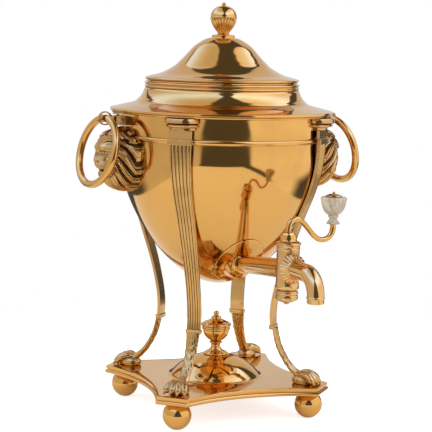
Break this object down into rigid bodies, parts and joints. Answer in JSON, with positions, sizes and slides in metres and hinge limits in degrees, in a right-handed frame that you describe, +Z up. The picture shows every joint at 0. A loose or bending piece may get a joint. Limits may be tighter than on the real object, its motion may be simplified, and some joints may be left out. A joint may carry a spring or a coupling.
{
  "type": "samovar tea urn",
  "caption": "Polished brass tea urn on reeded paw-footed legs, with a lift-off lid, lever tap, drop ring handles on lion masks and a spirit burner on a hollow-sided plinth.",
  "frame": {"origin": "on the urn's vertical axis, level with the soles of the ball feet, where the table is", "axes": "+Z up along the urn's axis, -Y towards the tap's spout, +X towards the ring handle on the side that the shut lever points to"},
  "size_m": [0.3034, 0.3484, 0.43],
  "materials": {
    "spun_brass": "mirror polished, with fine handling marks",
    "cast_brass": "polished casting, darker in its hollows",
    "fitting_brass": "plain turned, unpolished",
    "knob": "off-white, satin",
    "wick": "woven cotton"
  },
  "bodies": {
    "urn": {"plinth": "spun_brass", "ball_foot_front_right": "spun_brass", "foot_stud_front_right": "fitting_brass", "leg_front_right": "cast_brass", "capital_front_right": "cast_brass", "leg_screw_front_right": "fitting_brass", "ball_foot_back_right": "spun_brass", "foot_stud_back_right": "fitting_brass", "leg_back_right": "cast_brass", "capital_back_right": "cast_brass", "leg_screw_back_right": "fitting_brass", "ball_foot_back_left": "spun_brass", "foot_stud_back_left": "fitting_brass", "leg_back_left": "cast_brass", "capital_back_left": "cast_brass", "leg_screw_back_left": "fitting_brass", "ball_foot_front_left": "spun_brass", "foot_stud_front_left": "fitting_brass", "leg_front_left": "cast_brass", "capital_front_left": "cast_brass", "leg_screw_front_left": "fitting_brass", "urn_body": "spun_brass", "shoulder": "spun_brass", "mask_right": "cast_brass", "mask_screw_right": "fitting_brass", "handle_lug_right": "cast_brass", "lug_screw_right": "fitting_brass", "handle_eye_right": "cast_brass", "eye_rivet_right": "fitting_brass", "mask_left": "cast_brass", "mask_screw_left": "fitting_brass", "handle_lug_left": "cast_brass", "lug_screw_left": "fitting_brass", "handle_eye_left": "cast_brass", "eye_rivet_left": "fitting_brass", "tap_body": "cast_brass", "tap_boss": "cast_brass", "tap_plate": "spun_brass", "outlet_seat": "fitting_brass", "tap_backnut": "fitting_brass", "outlet_strainer": "fitting_brass"},
    "lid": {"lid": "spun_brass", "lid_finial": "spun_brass", "finial_nut": "fitting_brass"},
    "tap_key": {"tap_plug": "cast_brass", "plug_washer": "fitting_brass", "plug_nut": "cast_brass", "tap_lever": "cast_brass", "lever_knob": "knob", "knob_cap": "spun_brass"},
    "ring_right": {"ring_handle_right": "spun_brass"},
    "ring_left": {"ring_handle_left": "spun_brass"},
    "burner": {"burner_bowl": "spun_brass", "burner_top": "spun_brass", "burner_wick": "wick"},
    "burner_cap": {"burner_cap": "spun_brass"}
  },
  "joints": [
    {"name": "lid_lift", "type": "slide", "parent": "urn", "child": "lid", "axis": [0, 0, 1], "range_m": [0, 0.06]},
    {"name": "tap_turn", "type": "hinge", "parent": "urn", "child": "tap_key", "pos_m": [0, -0.164, 0.2], "axis": [0, 0, 1], "range_deg": [-180, 0]},
    {"name": "ring_right_swing", "type": "hinge", "parent": "urn", "child": "ring_right", "pos_m": [0.1295, 0, 0.3096], "axis": [0.1736, -0.9848, 0], "range_deg": [-10, 200]},
    {"name": "ring_left_swing", "type": "hinge", "parent": "urn", "child": "ring_left", "pos_m": [-0.1295, 0, 0.3096], "axis": [-0.1736, 0.9848, 0], "range_deg": [-10, 200]},
    {"name": "burner_lift", "type": "slide", "parent": "urn", "child": "burner", "axis": [0, 0, 1], "range_m": [0, 0.01]},
    {"name": "burner_cap_lift", "type": "slide", "parent": "burner", "child": "burner_cap", "axis": [0, 0, 1], "range_m": [0, 0.015]}
  ]
}
